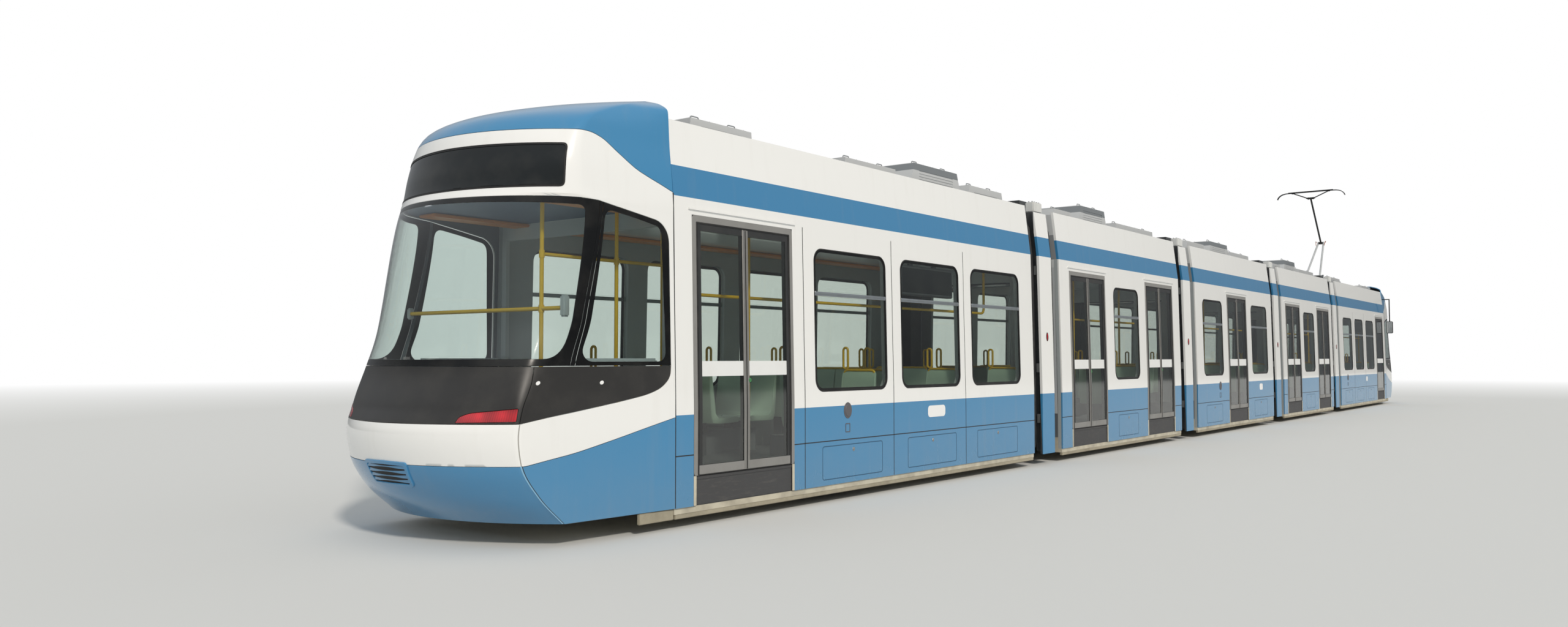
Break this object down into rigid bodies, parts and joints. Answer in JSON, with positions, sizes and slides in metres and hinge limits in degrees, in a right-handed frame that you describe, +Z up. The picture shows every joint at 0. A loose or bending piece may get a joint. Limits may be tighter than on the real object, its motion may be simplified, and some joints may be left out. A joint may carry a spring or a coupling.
{
  "type": "articulated low-floor tram",
  "caption": "Articulated low-floor tram with sections hinged on single-axle portals, rounded glazed noses, plug doors on one side and a raised single-arm pantograph.",
  "frame": {"origin": "centre of the footprint, at the height of the flange tips", "axes": "+X forward to the cab, +Y to the left side, +Z up"},
  "size_m": [35.9996, 2.79, 6.2721],
  "materials": {
    "body_paint": "smooth gloss coach paint",
    "roof_paint": "satin light grey paint",
    "frame_steel": "satin primer and paint",
    "glass": "tinted polished safety glass",
    "door_metal": "satin grey paint",
    "seat_plastic": "moulded shells with low sheen",
    "black_plastic": "gloss black moulding",
    "dark_plastic": "grained dark moulding",
    "rear_lamp": "clear red lens",
    "front_lamp": "clear lens",
    "portal_paint": "gloss coach paint",
    "bellows_rubber": "folded coated rubber cloth",
    "wheel_steel": "worn bare tread with dark web",
    "gear_steel": "dusty dark paint",
    "arm_paint": "light grey paint",
    "dark_steel": "dark enamel"
  },
  "bodies": {
    "module_1": {"module_1_walls": "body_paint", "module_1_roof": "roof_paint", "module_1_frame": "frame_steel", "module_1_glass": "glass", "module_1_doors": "door_metal", "module_1_seats": "seat_plastic", "rear_nose_shell": "body_paint", "rear_nose_panel": "black_plastic", "rear_nose_glass": "glass", "rear_lamps": "rear_lamp", "rear_axle_frame": "gear_steel"},
    "module_2": {"module_2_walls": "body_paint", "module_2_roof": "roof_paint", "module_2_frame": "frame_steel", "module_2_glass": "glass", "module_2_doors": "door_metal", "module_2_seats": "seat_plastic"},
    "module_3": {"module_3_walls": "body_paint", "module_3_roof": "roof_paint", "module_3_frame": "frame_steel", "module_3_glass": "glass", "module_3_doors": "door_metal", "module_3_seats": "seat_plastic"},
    "module_4": {"module_4_walls": "body_paint", "module_4_roof": "roof_paint", "module_4_frame": "frame_steel", "module_4_glass": "glass", "module_4_doors": "door_metal", "module_4_seats": "seat_plastic"},
    "module_5": {"module_5_walls": "body_paint", "module_5_roof": "roof_paint", "module_5_frame": "frame_steel", "module_5_glass": "glass", "module_5_doors": "door_metal", "module_5_seats": "seat_plastic", "front_nose_shell": "body_paint", "front_nose_panel": "black_plastic", "front_nose_glass": "glass", "front_lamps": "front_lamp", "front_axle_frame": "gear_steel", "mirrors": "black_plastic", "cab": "dark_plastic"},
    "portal_1": {"portal_1": "portal_paint", "bellows_1": "bellows_rubber"},
    "portal_2": {"portal_2": "portal_paint", "bellows_2": "bellows_rubber"},
    "portal_3": {"portal_3": "portal_paint", "bellows_3": "bellows_rubber"},
    "portal_4": {"portal_4": "portal_paint", "bellows_4": "bellows_rubber"},
    "wheelset_1": {"wheelset_1": "wheel_steel"},
    "wheelset_2": {"wheelset_2": "wheel_steel"},
    "wheelset_3": {"wheelset_3": "wheel_steel"},
    "wheelset_4": {"wheelset_4": "wheel_steel"},
    "wheelset_5": {"wheelset_5": "wheel_steel"},
    "wheelset_6": {"wheelset_6": "wheel_steel"},
    "pantograph_lower_arm": {"pantograph_lower_arm": "arm_paint"},
    "pantograph_upper_arm": {"pantograph_upper_arm": "dark_steel"},
    "pantograph_head": {"pantograph_head": "dark_steel"}
  },
  "joints": [
    {"name": "portal_2_turn", "type": "hinge", "parent": "module_3", "child": "portal_2", "pos_m": [-2.45, 0, 0.235], "axis": [0, 0, 1], "range_deg": [-10, 10], "deforming": ["bellows_2"]},
    {"name": "module_2_turn", "type": "hinge", "parent": "portal_2", "child": "module_2", "pos_m": [-3.05, 0, 0.235], "axis": [0, 0, 1], "range_deg": [-10, 10], "deforming": ["bellows_2"]},
    {"name": "portal_1_turn", "type": "hinge", "parent": "module_2", "child": "portal_1", "pos_m": [-8.35, 0, 0.235], "axis": [0, 0, 1], "range_deg": [-10, 10], "deforming": ["bellows_1"]},
    {"name": "module_1_turn", "type": "hinge", "parent": "portal_1", "child": "module_1", "pos_m": [-8.95, 0, 0.235], "axis": [0, 0, 1], "range_deg": [-10, 10], "deforming": ["bellows_1"]},
    {"name": "portal_3_turn", "type": "hinge", "parent": "module_3", "child": "portal_3", "pos_m": [3, 0, 0.235], "axis": [0, 0, 1], "range_deg": [-10, 10], "deforming": ["bellows_3"]},
    {"name": "module_4_turn", "type": "hinge", "parent": "portal_3", "child": "module_4", "pos_m": [3.6, 0, 0.235], "axis": [0, 0, 1], "range_deg": [-10, 10], "deforming": ["bellows_3"]},
    {"name": "portal_4_turn", "type": "hinge", "parent": "module_4", "child": "portal_4", "pos_m": [8.85, 0, 0.235], "axis": [0, 0, 1], "range_deg": [-10, 10], "deforming": ["bellows_4"]},
    {"name": "module_5_turn", "type": "hinge", "parent": "portal_4", "child": "module_5", "pos_m": [9.45, 0, 0.235], "axis": [0, 0, 1], "range_deg": [-10, 10], "deforming": ["bellows_4"]},
    {"name": "wheelset_1_spin", "type": "hinge", "parent": "module_1", "child": "wheelset_1", "pos_m": [-13.355, 0, 0.302], "axis": [0, 1, 0], "continuous": true},
    {"name": "wheelset_2_spin", "type": "hinge", "parent": "portal_1", "child": "wheelset_2", "pos_m": [-8.65, 0, 0.302], "axis": [0, 1, 0], "continuous": true},
    {"name": "wheelset_3_spin", "type": "hinge", "parent": "portal_2", "child": "wheelset_3", "pos_m": [-2.75, 0, 0.302], "axis": [0, 1, 0], "continuous": true},
    {"name": "wheelset_4_spin", "type": "hinge", "parent": "portal_3", "child": "wheelset_4", "pos_m": [3.3, 0, 0.302], "axis": [0, 1, 0], "continuous": true},
    {"name": "wheelset_5_spin", "type": "hinge", "parent": "portal_4", "child": "wheelset_5", "pos_m": [9.15, 0, 0.302], "axis": [0, 1, 0], "continuous": true},
    {"name": "wheelset_6_spin", "type": "hinge", "parent": "module_5", "child": "wheelset_6", "pos_m": [13.355, 0, 0.302], "axis": [0, 1, 0], "continuous": true},
    {"name": "pantograph_raise", "type": "hinge", "parent": "module_5", "child": "pantograph_lower_arm", "pos_m": [12.1, 0, 3.78], "axis": [0, 1, 0], "range_deg": [-8, 40]},
    {"name": "pantograph_knee", "type": "hinge", "parent": "pantograph_lower_arm", "child": "pantograph_upper_arm", "pos_m": [13.22, 0, 4.85], "axis": [0, 1, 0], "range_deg": [-82, 17]},
    {"name": "pantograph_head_level", "type": "hinge", "parent": "pantograph_upper_arm", "child": "pantograph_head", "pos_m": [12.04, 0, 6.06], "axis": [0, 1, 0], "range_deg": [-9, 42]}
  ],
  "couplings": [
    {"joint": "module_2_turn", "follows": "portal_2_turn", "ratio": 1},
    {"joint": "module_1_turn", "follows": "portal_1_turn", "ratio": 1},
    {"joint": "module_4_turn", "follows": "portal_3_turn", "ratio": 1},
    {"joint": "module_5_turn", "follows": "portal_4_turn", "ratio": 1},
    {"joint": "pantograph_knee", "follows": "pantograph_raise", "ratio": -2.03},
    {"joint": "pantograph_head_level", "follows": "pantograph_raise", "ratio": 1.03}
  ]
}
